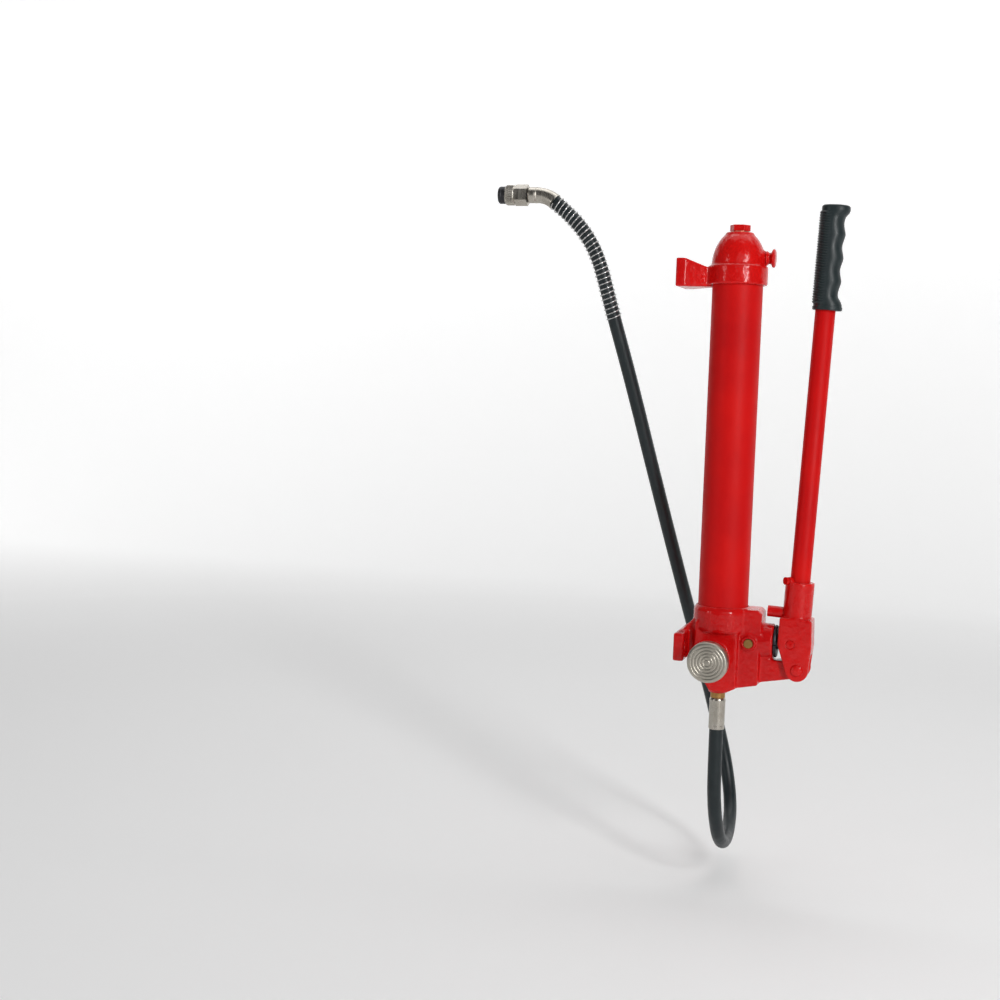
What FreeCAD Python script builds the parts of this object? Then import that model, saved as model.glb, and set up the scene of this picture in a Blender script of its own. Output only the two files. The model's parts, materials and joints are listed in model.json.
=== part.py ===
"""Hydraulic hand pump with upright reservoir, flange mounted, with its hose to the ram port.

Frame: +Z up, the lever on the +X side, the release knob on the -Y side. The origin is the
centre of the lower mounting face. All sizes are in millimetres.
"""

import FreeCAD, Part, Sketcher
import math
import os
import re

Vector = FreeCAD.Vector
X, Y, Z = Vector(1, 0, 0), Vector(0, 1, 0), Vector(0, 0, 1)

# Driving dimensions. "pump_x" is the distance of the reservoir's axis from the lower mounting face.
SIZES = {
    "pump_x": 48, "fit_gap": 0.15,
    # reservoir tube and the collar of the body that holds it
    "tube_radius": 28.5, "tube_wall": 3, "collar_radius": 33, "collar_top": 47, "collar_base": 17,
    "collar_slope": 3.5, "socket_depth": 14, "gasket_height": 2,
    # body casting
    "core_half": 24, "foot_half": 19, "arm_top": 44, "arm_half": 19, "arm_reach": 95.5, "barrel_z": 9,
    "boss_radius": 20, "boss_reach": 108.5, "tongue_half": 9, "eye_radius": 11,
    "outlet_y": -8, "outlet_boss_radius": 11, "body_bottom": -51,
    # lower and upper mounting flanges
    "flange_thick": 12, "flange_half": 44, "flange_rise": 16, "bolt_radius": 5.5, "bolt_offset": 33,
    "upper_x": -18, "upper_thick": 10, "upper_half": 30, "upper_base": 407.5, "upper_rise": 32,
    "tap_radius": 4.25, "tap_depth": 18, "tap_offset": 20,
    # reservoir cap
    "cap_rim": 411, "band_radius": 33.4, "band_height": 21.6, "dome_radius": 30.5, "dome_height": 41.5,
    "cap_wall": 4.5, "shoulder_radius": 16, "shoulder_top": 470.4, "cap_socket": 12,
    "filler_flats": 20, "filler_head": 8, "filler_radius": 8, "filler_shank": 16,
    "vent_z": 441.7, "vent_radius": 5, "vent_tip": 42, "vent_head": 10.5, "washer_thick": 1.2,
    # pumping cylinder, plunger and gland
    "plunger_radius": 7, "running_gap": 0.05, "barrel_radius": 12, "barrel_start": 56,
    "barrel_end": 103, "plunger_start": 62, "pin_x": 128.1, "pin_z": 9, "pin_radius": 4.5,
    "link_half": 5, "link_rise": 9.5, "gland_radius": 18.5, "gland_face": 112,
    # lever, with its fulcrum pin
    "pivot_x": 136.6, "pivot_z": -20, "pivot_radius": 5, "lever_lean": 2.36, "cheek_inner": 10,
    "cheek_thick": 7, "cheek_foot": 13, "handle_x": -6.3, "socket_radius": 16.3, "socket_top": 99,
    "bore_floor": 64, "handle_radius": 11.2, "handle_wall": 2.5, "peg_radius": 6.4, "peg_z": 61.8,
    "peg_tip": -39.6, "grip_base": 405, "grip_top": 521, "grip_radius": 14.2, "grip_swell": 2.6,
    # release valve
    "valve_x": 44.5, "valve_z": -9.5, "knob_face": 75, "knob_radius": 23, "knob_thick": 14,
    "spindle_radius": 5, "valve_boss": 42,
    # check valves and relief valve
    "valve_bore": 7, "ball_radius": 3.5, "relief_x": 66, "relief_z": -24,
    # hose and the fittings at its two ends
    "hose_radius": 8, "ferrule_radius": 9.3, "ferrule_top": -60, "ferrule_end": -97,
    "elbow_bend": 36, "elbow_turn": 38, "elbow_radius": 10, "port_x": -195, "port_y": 9, "port_z": 513.8,
    "coupler_flats": 22, "coupler_ring": 12, "port_radius": 6.2, "port_depth": 12,
}

# The free hose hangs from the outlet in a loop and climbs to the elbow at its far end.
HOSE_ROUTE = [
    (48, -8, -97), (48, -8, -137), (49, -8, -183), (51, 16, -227), (52, 56, -251),
    (51, 106, -251), (47, 148, -227), (36, 172, -184), (23, 171, -133), (7, 151, -63),
    (-20, 118, 45), (-52, 76, 180), (-80, 42, 300), (-103, 17, 388), (-117, 11, 440),
    (-133, 9.5, 468.5), (-153.1, 9, 490.8), (-172.8, 9, 506.2),
]
# How many of the route's last bends the coil guard covers.
GUARD_RUNS = 4
# Degrees from the side that faces the pump round to the handle's lock screw.
LOCK_SCREW_TURN = 40
# The grip's finger grooves: how many, and their pitches in the whole grip.
FINGERS = 4
FINGER_PITCHES = 4.7

# A sketch is drawn first as this circle's polygon, and its formulas then pull the corners into place.
START_CENTRE = 50
START_RADIUS = 9

document = FreeCAD.newDocument("hand_pump")
sheet = document.addObject("Spreadsheet::Sheet", "sizes")
for line, (alias, value) in enumerate(SIZES.items(), 1):
    sheet.set(f"A{line}", alias)
    sheet.set(f"B{line}", str(value))
    sheet.setAlias(f"B{line}", alias)
document.recompute()
nodes = []


# ---------------------------------------------------------------- drawing tools

def formula(text):
    """An expression of the document, from one that names the sheet's sizes plainly."""
    return re.sub(r"[a-z_]{3,}", lambda word: "sizes." + word.group()
                  if word.group() in SIZES else word.group(), str(text))


def bind(thing, **sizes):
    for name, text in sizes.items():
        thing.setExpression(name, formula(text))
    return thing


def place(thing, at, turn):
    """Put a shape at a point whose coordinates are formulas, turned from its own +Z."""
    thing.Placement = FreeCAD.Placement(Vector(), turn)
    for axis, text in zip("xyz", at):
        thing.setExpression("Placement.Base." + axis, formula(text))
    return thing


def towards(direction):
    return FreeCAD.Rotation(Z, direction)


def cylinder(radius, length, at, along=Z):
    item = document.addObject("Part::Cylinder", "cylinder")
    return place(bind(item, Radius=radius, Height=length), at, towards(along))


def box(length, width, height, at):
    item = document.addObject("Part::Box", "box")
    return place(bind(item, Length=length, Width=width, Height=height), at, FreeCAD.Rotation())


def hexagon(flats, height, at, along=Z):
    item = document.addObject("Part::Prism", "hexagon")
    item.Polygon = 6
    across_corners = f"({flats}) / sqrt(3)"
    return place(bind(item, Circumradius=across_corners, Height=height), at, towards(along))


def sphere(radius, at):
    item = document.addObject("Part::Sphere", "ball")
    return place(bind(item, Radius=radius), at, FreeCAD.Rotation())


def fuse(*shapes):
    item = document.addObject("Part::MultiFuse", "joined")
    item.Shapes = list(shapes)
    item.Refine = True
    return item


def cut(base, *tools):
    item = document.addObject("Part::Cut", "cut")
    item.Base = base
    item.Tool = tools[0] if len(tools) == 1 else fuse(*tools)
    item.Refine = True
    return item


def outline_body(outline):
    """A body with a closed sketch in its XZ plane, each corner bound to two formulas."""
    body = document.addObject("PartDesign::Body", "body")
    sketch = body.newObject("Sketcher::SketchObject", "outline")
    planes = [item for item in body.Origin.OriginFeatures if item.Role == "XZ_Plane"]
    sketch.AttachmentSupport = [(planes[0], "")]
    sketch.MapMode = "FlatFace"
    count = len(outline)
    turns = [math.tau * i / count for i in range(count)]
    start = [Vector(START_CENTRE + START_RADIUS * math.cos(turn), START_RADIUS * math.sin(turn), 0)
             for turn in turns]
    for i in range(count):
        sketch.addGeometry(Part.LineSegment(start[i], start[(i + 1) % count]), False)
    for i in range(count):
        sketch.addConstraint(Sketcher.Constraint("Coincident", i, 2, (i + 1) % count, 1))
    for i, (across, up) in enumerate(outline):
        for kind, text, first in (("DistanceX", across, start[i].x), ("DistanceY", up, start[i].y)):
            index = sketch.addConstraint(Sketcher.Constraint(kind, i, 1, first))
            sketch.setExpression(f"Constraints[{index}]", formula(text))
    return body, sketch


def turned(outline, at, along=Z):
    """A turned piece: the outline's corners are (radius, height along the axis)."""
    body, sketch = outline_body(outline)
    feature = body.newObject("PartDesign::Revolution", "turning")
    feature.Profile = sketch
    feature.ReferenceAxis = (sketch, ["V_Axis"])
    feature.Angle = 360
    return place(body, at, towards(along))


def slab(outline, half, at=(0, 0, 0), lean=0):
    """A flat piece: the outline's corners are (x, z), and it is centred on its own Y = 0."""
    body, sketch = outline_body(outline)
    feature = body.newObject("PartDesign::Pad", "plate")
    feature.Profile = sketch
    feature.setExpression("Length", formula(f"2 * ({half})"))
    feature.SideType = "Symmetric"
    return place(body, at, FreeCAD.Rotation(Y, lean))


def ring(inner, outer, height, at, along=Z):
    return turned([(inner, 0), (outer, 0), (outer, height), (inner, height)], at, along)


def node(name, shape):
    shape.Label = name
    nodes.append(shape)
    return shape


# ---------------------------------------------------------------- body casting

def pump_body():
    core = slab([("pump_x - 28", 28), ("pump_x - 28", -20), ("pump_x - 8", "body_bottom"),
                 ("pump_x + 12", "body_bottom"), ("pump_x + 22", -46), ("pump_x + 22", 28)], "core_half")
    foot = slab([("pump_x", "body_bottom + 4"), ("pump_x + 22", -46), ("pump_x + 46", -41),
                 ("pump_x + 46", 9), ("pump_x", 9)], "foot_half")
    rim = "collar_radius - collar_slope"
    collar = turned([(0, "collar_base"), ("collar_radius - 2", "collar_base"),
                     ("collar_radius", "collar_base + 3"), ("collar_radius", "collar_top - 5"),
                     (rim, "collar_top"), (0, "collar_top")], ("pump_x", 0, 0))
    arm = slab([("pump_x", 0), ("arm_reach", 0), ("arm_reach", "arm_top - 3"),
                ("arm_reach - 4", "arm_top + 1"), ("pump_x", "arm_top + 1")], "arm_half")
    boss = cylinder("boss_radius", "boss_reach - pump_x", ("pump_x", 0, "barrel_z"), X)
    tongue = slab([("pump_x + 30", -42), ("pivot_x - 2", "pivot_z - eye_radius"),
                   ("pivot_x", "pivot_z"), ("pivot_x - 6", "pivot_z + eye_radius - 1.5"),
                   ("boss_reach", -12), ("pump_x + 30", -6)], "tongue_half")
    eye = cylinder("eye_radius", "2 * tongue_half", ("pivot_x", "-tongue_half", "pivot_z"), Y)
    flange = box("flange_thick", "2 * flange_half", "2 * flange_rise",
                 (0, "-flange_half", "-flange_rise"))
    web = slab([(4, -11), ("pump_x - 20", -24), ("pump_x - 20", 38), ("flange_thick + 8", 33),
                (4, "flange_rise")], 15)
    valve_boss = cylinder(15, "valve_boss", ("valve_x", 0, "valve_z"), -Y)
    outlet_boss = cylinder("outlet_boss_radius", 16, ("pump_x", "outlet_y", "body_bottom - 3"))
    seal_boss = cylinder(8.4, 23, ("pump_x + 34", 0, 7), -Y)
    relief_boss = cylinder(11, 33, ("relief_x", 0, "relief_z"), Y)
    solid = fuse(core, foot, collar, arm, boss, tongue, eye, flange, web, valve_boss, outlet_boss,
                 seal_boss, relief_boss)
    node("pump_body", cut(solid, *body_passages()))


def body_passages():
    """The bores of the casting: reservoir socket, cylinder, valves, oil ways and bolt holes."""
    bolts = [cylinder("bolt_radius", "flange_thick + 2", (-1, f"{side} * bolt_offset", 0), X)
             for side in (-1, 1)]
    return bolts + [
        cylinder("tube_radius + fit_gap", "socket_depth + 1",
                 ("pump_x", 0, "collar_top - socket_depth")),
        cylinder("tube_radius - tube_wall - 1", 2, ("pump_x", 0, "collar_top - socket_depth - 1.5")),
        cylinder("barrel_radius + fit_gap", 60, ("barrel_start", 0, "barrel_z"), X),
        cylinder(15.2, 10, ("barrel_end", 0, "barrel_z"), X),
        cylinder("valve_bore + fit_gap", 24, ("pump_x", 0, 10)),
        cylinder("valve_bore", 12, ("pump_x - 4", 0, "barrel_z"), X),
        cylinder("valve_bore + fit_gap", 34, ("pump_x", "outlet_y", "body_bottom - 4")),
        cylinder(1.5, 26, ("pump_x + 3.8", -5, -22)),
        cylinder(8.15, 32, ("valve_x", -16, "valve_z"), -Y),
        cylinder("spindle_radius + 0.6", 12, ("valve_x", -8.5, "valve_z"), -Y),
        cylinder(1.8, 42, ("valve_x", -13, "valve_z")),
        cylinder(1.25, 7, ("valve_x", -3, "valve_z"), -Y),
        cylinder(1, 9, ("valve_x - 6", -5, "valve_z"), X),
        cylinder(1.4, 32, ("valve_x - 6", -5, "valve_z - 31")),
        cylinder(1, 10, ("valve_x - 6", -5, "valve_z - 29"), X),
        cylinder("pivot_radius + 2.15", "2 * tongue_half + 2", ("pivot_x", "-tongue_half - 1",
                                                                "pivot_z"), Y),
        cylinder(5.15, 14, ("pump_x + 34", -13.5, 7), -Y),
        cylinder(6.15, 24, ("relief_x", 10, "relief_z"), Y),
        cylinder(2, 34, ("relief_x", 14, "relief_z")),
    ]


# ---------------------------------------------------------------- reservoir and cap

def reservoir():
    base = "collar_top - socket_depth + gasket_height"
    node("reservoir_tube", ring("tube_radius - tube_wall", "tube_radius",
                                f"cap_rim + cap_socket - gasket_height - ({base})",
                                ("pump_x", 0, base)))
    node("lower_gasket", ring("tube_radius - tube_wall", "tube_radius", "gasket_height - 0.1",
                              ("pump_x", 0, "collar_top - socket_depth")))
    node("upper_gasket", ring("tube_radius - tube_wall", "tube_radius", "gasket_height - 0.1",
                              ("pump_x", 0, "cap_rim + cap_socket - gasket_height + 0.05")))


def dome(radius, height):
    item = document.addObject("Part::Ellipsoid", "dome")
    item.Angle1 = 0
    bind(item, Radius1=height, Radius2=radius, Radius3=radius)
    return place(item, ("pump_x", 0, "cap_rim + band_height"), FreeCAD.Rotation())


def wedge_arm():
    """The tapering arm from the upper flange, wide and high, to the cap's band."""
    item = document.addObject("Part::Wedge", "arm")
    bind(item, Xmin="-upper_half", Xmax="upper_half", Ymin=0, Ymax=28, Zmin="-upper_rise", Zmax=0,
         X2min=-10, X2max=10, Z2min="-upper_rise + 1", Z2max=-11)
    turn = FreeCAD.Rotation(Z, -90)
    return place(item, ("upper_x + upper_thick", 0, "upper_base + upper_rise"), turn)


def reservoir_cap():
    band = cylinder("band_radius", "band_height", ("pump_x", 0, "cap_rim"))
    shoulder = cylinder("shoulder_radius", 8, ("pump_x", 0, "shoulder_top - 8"))
    flange = box("upper_thick", "2 * upper_half", "upper_rise",
                 ("upper_x", "-upper_half", "upper_base"))
    vent_boss = cylinder(8.5, 10, ("pump_x + 20.5", 0, "vent_z"), X)
    solid = fuse(band, dome("dome_radius", "dome_height"), shoulder, flange, wedge_arm(), vent_boss)
    socket = cylinder("tube_radius + fit_gap", "cap_socket + 5", ("pump_x", 0, "cap_rim - 5"))
    top_face = cylinder("shoulder_radius + 2", 9, ("pump_x", 0, "shoulder_top"))
    inner_band = cylinder("dome_radius - cap_wall", "band_height - cap_socket + 1",
                          ("pump_x", 0, "cap_rim + cap_socket - 0.5"))
    hollow = dome("dome_radius - cap_wall", "dome_height - cap_wall - 5")
    filler = cylinder("filler_radius + fit_gap", 24, ("pump_x", 0, "shoulder_top - 23"))
    vent = cylinder("vent_radius + fit_gap", 30, ("pump_x + 10", 0, "vent_z"), X)
    taps = [cylinder("tap_radius", "tap_depth", ("upper_x - 1", f"{side} * tap_offset",
                                                 "upper_base + upper_rise / 2"), X)
            for side in (-1, 1)]
    node("reservoir_cap", cut(solid, socket, top_face, inner_band, hollow, filler, vent, *taps))


def cap_fittings():
    seat = "shoulder_top + washer_thick"
    head = hexagon("filler_flats", "filler_head - washer_thick", ("pump_x", 0, seat))
    shank = cylinder("filler_radius", "filler_shank + 1", ("pump_x", 0, f"{seat} - filler_shank"))
    node("filler_plug", fuse(head, shank))
    node("filler_washer", ring("filler_radius + fit_gap", "filler_radius + 1.8",
                               "washer_thick - 0.1", ("pump_x", 0, "shoulder_top + 0.05")))
    neck = "vent_radius + 1.4"
    node("vent_screw", turned([(0, 16), ("vent_radius", 16), ("vent_radius", 31.8), (neck, 31.8),
                               (neck, "vent_tip - 6"), ("vent_head - 0.8", "vent_tip - 4.6"),
                               ("vent_head", "vent_tip - 3.6"), ("vent_head", "vent_tip - 1.6"),
                               ("vent_head - 2", "vent_tip - 0.4"), (0, "vent_tip")],
                              ("pump_x", 0, "vent_z"), X))
    node("vent_seal", ring("vent_radius + fit_gap", "vent_radius + 1.3", "washer_thick - 0.1",
                           ("pump_x + 30.55", 0, "vent_z"), X))


# ---------------------------------------------------------------- pumping cylinder

def pumping_cylinder():
    bore = "plunger_radius + running_gap"
    node("pump_barrel", ring(bore, "barrel_radius", "barrel_end - 8 - barrel_start",
                             ("barrel_start + 0.1", 0, "barrel_z"), X))
    node("plunger_seal", ring(bore, "barrel_radius - 0.2", 3.8, ("barrel_end - 7.6", 0, "barrel_z"), X))
    node("backup_ring", ring(bore, "barrel_radius - 0.2", 2.6, ("barrel_end - 3.5", 0, "barrel_z"), X))
    node("gland_nut", turned([(bore, "barrel_end + 0.3"), (15, "barrel_end + 0.3"),
                              (15, "boss_reach + 0.2"), ("gland_radius", "boss_reach + 0.2"),
                              ("gland_radius", "gland_face - 0.7"),
                              ("gland_radius - 0.8", "gland_face"), (9.2, "gland_face"),
                              (8.8, "gland_face + 3.2"), (bore, "gland_face + 3.2")],
                             (0, 0, "barrel_z"), X))
    node("wiper_ring", ring(bore, 8.2, 1.4, ("gland_face + 3.35", 0, "barrel_z"), X))
    rod = cylinder("plunger_radius", "pin_x - 7 - plunger_start", ("plunger_start", 0, "barrel_z"), X)
    link = slab([("pin_x - 9.5", -5), ("pin_x - 7", "-link_rise"), ("pin_x + 5", "-link_rise"),
                 ("pin_x + 8.5", -6), ("pin_x + 8.5", 6), ("pin_x + 5", "link_rise"),
                 ("pin_x - 7", "link_rise"), ("pin_x - 9.5", 5)], "link_half", (0, 0, "barrel_z"))
    slot_gap = "pin_radius + 0.25"
    slot_ends = [cylinder(slot_gap, "2 * link_half + 2", ("pin_x", "-link_half - 1", f"pin_z + {rise}"), Y)
                 for rise in ("(-1.3)", 1.6)]
    slot = box(f"2 * ({slot_gap})", "2 * link_half + 2", 2.9,
               (f"pin_x - ({slot_gap})", "-link_half - 1", "pin_z - 1.3"))
    node("plunger", cut(fuse(rod, link), slot, *slot_ends))


def inner_valves():
    """Suction, delivery and relief valves: each a seat, a ball and a spring in its bore."""
    inlet = ("pump_x", 0)
    node("inlet_valve_cage", turned([(3.2, 0), (6.9, 0), (6.9, 14), (4.4, 14), (4.4, 2), (3.2, 2)],
                                    (*inlet, 14.2)))
    node("inlet_valve_seat", ring(2.6, 6.9, 3, (*inlet, 28.3)))
    node("inlet_ball", sphere("ball_radius", (*inlet, 25.7)))
    node("inlet_spring", ring(2.2, 3.2, 5.6, (*inlet, 16.4)))
    node("suction_strainer", turned([(0, 9), (8.6, 9), (8.6, 0), (7.8, 0), (7.8, 8.2), (0, 8.2)],
                                    (*inlet, 31.6)))
    outlet = ("pump_x", "outlet_y")
    node("outlet_valve_seat", ring(2.6, 6.9, 3, (*outlet, -26.3)))
    node("outlet_ball", sphere("ball_radius", (*outlet, -28.9)))
    node("outlet_spring", ring(2.4, 3.4, 8.6, (*outlet, -41.6)))
    node("relief_ball", sphere(3, ("relief_x", 13.2, "relief_z")))
    node("relief_spring", ring(2.2, 3.4, 9.4, ("relief_x", 16.4, "relief_z"), Y))
    node("relief_screw", cylinder(6, 6, ("relief_x", 26, "relief_z"), Y))
    node("gallery_plug", cylinder(5, 9, ("pump_x + 34", -14.6, 7), -Y))


# ---------------------------------------------------------------- release valve

def release_valve():
    axis = ("valve_x", 0, "valve_z")
    node("release_spindle", turned([(0, 12.2), (2, 12.2), ("spindle_radius - 0.3", 16), (6.4, 16.2),
                                    (6.4, 30), ("spindle_radius", 30), ("spindle_radius", 70),
                                    (0, 70)], axis, -Y))
    node("release_ball", sphere(2, ("valve_x", -10.1, "valve_z")))
    node("release_seal", ring("spindle_radius + running_gap", 7.9, 3.4, ("valve_x", -33, "valve_z"), -Y))
    nut = hexagon(26, 7, ("valve_x", "-valve_boss - 0.2", "valve_z"), -Y)
    spigot = cylinder(8, 6, ("valve_x", -36.8, "valve_z"), -Y)
    hole = cylinder("spindle_radius + running_gap", 20, ("valve_x", -36, "valve_z"), -Y)
    node("release_gland", cut(fuse(nut, spigot), hole))
    back = "knob_face - knob_thick"
    node("release_knob", turned([("spindle_radius + 0.02", f"{back} - 6"), (9, f"{back} - 6"),
                                 (9, back), ("knob_radius - 1.2", back),
                                 ("knob_radius", f"{back} + 1.2"), ("knob_radius", "knob_face - 2"),
                                 ("knob_radius - 2", "knob_face"), (0, "knob_face"),
                                 (0, 70.1), ("spindle_radius + 0.02", 70.1)], axis, -Y))


# ---------------------------------------------------------------- lever

def on_lever(across, up):
    """A point given in the lever's own frame, as three formulas of the pump's frame."""
    lean = "lever_lean"
    return (f"pivot_x + ({across}) * cos({lean}) + ({up}) * sin({lean})", 0,
            f"pivot_z - ({across}) * sin({lean}) + ({up}) * cos({lean})")


def leaned(direction):
    """A direction of the lever's own frame, in the pump's frame."""
    return FreeCAD.Rotation(Y, SIZES["lever_lean"]).multVec(direction)


def lever_cylinder(radius, base, top):
    return cylinder(radius, f"({top}) - ({base})", on_lever("handle_x", base), leaned(Z))


def lever_slab(outline, half, shift=0):
    return slab(outline, half, ("pivot_x", shift, "pivot_z"), SIZES["lever_lean"])


def lever():
    cheek = [(-24, 58), (-24, 27), (-12, -5), (0, -8), ("cheek_foot - 0.4", 3), (14.2, 27), (12, 58)]
    middle = "cheek_inner + cheek_thick / 2"
    sides = [lever_slab(cheek, "cheek_thick / 2", f"{side} * ({middle})") for side in (-1, 1)]
    feet = [cylinder("cheek_foot", "cheek_thick", ("pivot_x", start, "pivot_z"), Y)
            for start in ("-cheek_inner - cheek_thick", "cheek_inner")]
    back = lever_slab([(7, 16), (13.4, 16), (14.2, 27), (12, 58), (7, 58)], "cheek_inner + 1")
    bridge = lever_slab([(-24, 46), (12, 46), (12, 58), (-24, 58)], "cheek_inner + 1")
    socket = lever_cylinder("socket_radius", 52, "socket_top")
    lug = cylinder(4.8, 7, lock_screw_point(9.4), lock_screw_axis())
    bore = lever_cylinder("handle_radius + fit_gap", "bore_floor", "socket_top + 8")
    pivot = cylinder("pivot_radius", 60, ("pivot_x", -30, "pivot_z"), Y)
    pin = cylinder("pin_radius", 60, ("pin_x", -30, "pin_z"), Y)
    outward = leaned(-X)
    peg_hole = cylinder("peg_radius", 12, on_lever("handle_x - 11.5", "peg_z"), outward)
    screw_hole = cylinder(2.65, 8, lock_screw_point(10.5), lock_screw_axis())
    casting = fuse(*sides, *feet, back, bridge, socket, lug)
    node("lever_socket", cut(casting, bore, pivot, pin, peg_hole, screw_hole))
    node("stop_peg", cylinder("peg_radius", "handle_x - 12 - peg_tip",
                              on_lever("handle_x - 12", "peg_z"), outward))
    head = cylinder(4.4, 3.4, lock_screw_point(17), lock_screw_axis())
    shank = cylinder(2.5, 6, lock_screw_point(11.6), lock_screw_axis())
    node("handle_lock_screw", fuse(head, shank))


def lock_screw_axis():
    """The lock screw stands square to the handle, between the pump's side and the knob's."""
    turn = math.radians(LOCK_SCREW_TURN)
    return leaned(Vector(-math.cos(turn), -math.sin(turn), 0))


def lock_screw_point(distance):
    middle = on_lever("handle_x", "socket_top + 0.6")
    axis = lock_screw_axis() * distance
    return tuple(f"{text} + ({step:.4f})" for text, step in zip(middle, axis))


def lever_pins():
    """The fulcrum pin has a domed head; the plunger's pin is riveted flush with the cheek."""
    reach = "cheek_inner + cheek_thick"
    for name, radius, x, z, spread in (("fulcrum_pin", "pivot_radius", "pivot_x", "pivot_z", 2),
                                       ("plunger_pin", "pin_radius", "pin_x", "pin_z", 0)):
        rise = 2.8 if spread else 0.5
        head = turned([(0, 0), (f"{radius} + {spread}", 0), (f"{radius} + {spread}", rise / 2),
                       (f"{radius} + {spread} - 1.2", rise), (0, rise + 0.2)], (x, f"-({reach})", z), -Y)
        shank = cylinder(radius, f"2 * ({reach}) + 4", (x, f"-({reach}) - 0.1", z), Y)
        groove = ring(f"{radius} - 0.8", f"{radius} + 1", 1.2, (x, f"{reach} + 0.6", z), Y)
        node(name, cut(fuse(head, shank), groove))
        clip = name.replace("pin", "clip")
        node(clip, ring(f"{radius} - 0.7", f"{radius} + 2.4", 0.9, (x, f"{reach} + 0.75", z), Y))
    node("fulcrum_bush", ring("pivot_radius + running_gap", "pivot_radius + 2", "2 * tongue_half",
                              ("pivot_x", "-tongue_half", "pivot_z"), Y))


def handle():
    top = "grip_top - 9"
    tube = lever_cylinder("handle_radius", "bore_floor + 0.3", top)
    hollow = lever_cylinder("handle_radius - handle_wall", "bore_floor", "grip_top")
    node("handle_tube", cut(tube, hollow))
    node("handle_grip", handle_grip())


def handle_grip():
    length = "grip_top - grip_base"
    skin = lever_cylinder("grip_radius", "grip_base", "grip_top")
    swell = cylinder("grip_radius - 0.8", length, on_lever("handle_x + grip_swell", "grip_base"),
                     leaned(Z))
    step = (SIZES["grip_top"] - SIZES["grip_base"]) / FINGER_PITCHES
    grooves = []
    for finger in range(FINGERS):
        up = f"grip_base + {step * (0.85 + finger):.2f}"
        x, _, z = on_lever("handle_x + grip_radius + 12", up)
        grooves.append(cylinder(12.4, 60, (x, -30, z), Y))
    bore = lever_cylinder("handle_radius + 0.02", "grip_base - 1", "grip_top - 8.8")
    return cut(fuse(skin, swell), bore, *grooves)


# ---------------------------------------------------------------- outlet, hose and coupler

def outlet_fittings():
    axis = ("pump_x", "outlet_y")
    node("outlet_adapter", turned([(3, -60), (8.4, -60), (8.4, -54.2), (6.9, -54.2), (6.9, -42),
                                   (3, -42)], (*axis, 0)))
    node("hose_ferrule", turned([(0, "ferrule_end"), ("ferrule_radius - 0.8", "ferrule_end"),
                                 ("ferrule_radius", "ferrule_end + 0.8"),
                                 ("ferrule_radius", "ferrule_top - 1"),
                                 ("ferrule_radius - 1", "ferrule_top - 0.1"),
                                 (0, "ferrule_top - 0.1")], (*axis, 0)))


def rounded_path(points):
    """Straight runs joined by tangent arcs, each arc as large as its two runs allow."""
    corners = [Vector(*point) for point in points]
    edges, last, radii = [], corners[0], []
    for before, corner, after in zip(corners, corners[1:], corners[2:]):
        back, ahead = before - corner, after - corner
        half_turn = (math.pi - back.getAngle(ahead)) / 2
        setback = 0.45 * min(back.Length, ahead.Length)
        radius = setback / math.tan(half_turn)
        start = corner + back.normalize() * setback
        end = corner + ahead.normalize() * setback
        bulge = (back + ahead).normalize()
        middle = corner + bulge * (radius / math.cos(half_turn) - radius)
        edges += [Part.LineSegment(last, start).toShape(), Part.Arc(start, middle, end).toShape()]
        last = end
        radii.append(radius)
    edges.append(Part.LineSegment(last, corners[-1]).toShape())
    return edges, radii


def swept(edges, radius):
    """A round bar of one radius along a path of edges."""
    first = edges[0]
    start = first.valueAt(first.FirstParameter)
    circle = Part.Wire([Part.Circle(start, first.tangentAt(first.FirstParameter), radius).toShape()])
    return Part.Wire(edges).makePipeShell([circle], True, True)


def part_feature(name, shape):
    item = document.addObject("Part::Feature", name)
    item.Shape = shape
    item.Placement = FreeCAD.Placement()
    return node(name, item)


def hose():
    edges, radii = rounded_path(HOSE_ROUTE)
    radius = sheet.hose_radius
    tube = swept(edges, radius)
    part_feature("hose", tube)
    length = sum(edge.Length for edge in edges)
    print("hose length", round(length, 1), "radii", [round(value) for value in radii])
    print("hose volume over section times length", tube.Volume / (math.pi * radius ** 2 * length))
    guard_path = edges[-2 * GUARD_RUNS:]
    part_feature("spring_guard", swept(guard_path, radius + 2).cut(swept(guard_path, radius + 0.4)))


def coupler():
    elbow = document.addObject("Part::Torus", "elbow")
    bind(elbow, Radius1="elbow_bend", Radius2="elbow_radius", Angle3="elbow_turn")
    start = math.radians(90 - SIZES["elbow_turn"])
    across = Vector(math.cos(start), 0, math.sin(start))
    upward = Vector(-math.sin(start), 0, math.cos(start))
    place(elbow, ("port_x", "port_y", "port_z - elbow_bend"),
          FreeCAD.Rotation(across, upward, -Y, "ZXY"))
    node("hose_elbow", elbow)
    axis = ("port_x", "port_y", "port_z")
    node("hose_end_collar", cylinder(9.6, 9.8, ("port_x - 0.1", "port_y", "port_z"), -X))
    node("coupler_body", turned([(0, 10), (7.8, 10), (7.8, 38.2), (10.2, 38.2), (10.2, 45.2),
                                 (9.4, 46), ("port_radius", 46), ("port_radius", "46 - port_depth"),
                                 (0, "46 - port_depth")], axis, -X))
    nut = hexagon("coupler_flats", 15, ("port_x - 10.6", "port_y", "port_z"), -X)
    hole = cylinder(7.9, 20, ("port_x - 9", "port_y", "port_z"), -X)
    node("coupler_nut", cut(nut, hole))
    node("coupler_sleeve", ring(7.9, "coupler_ring", 11.4, ("port_x - 26.2", "port_y", "port_z"), -X))


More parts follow.
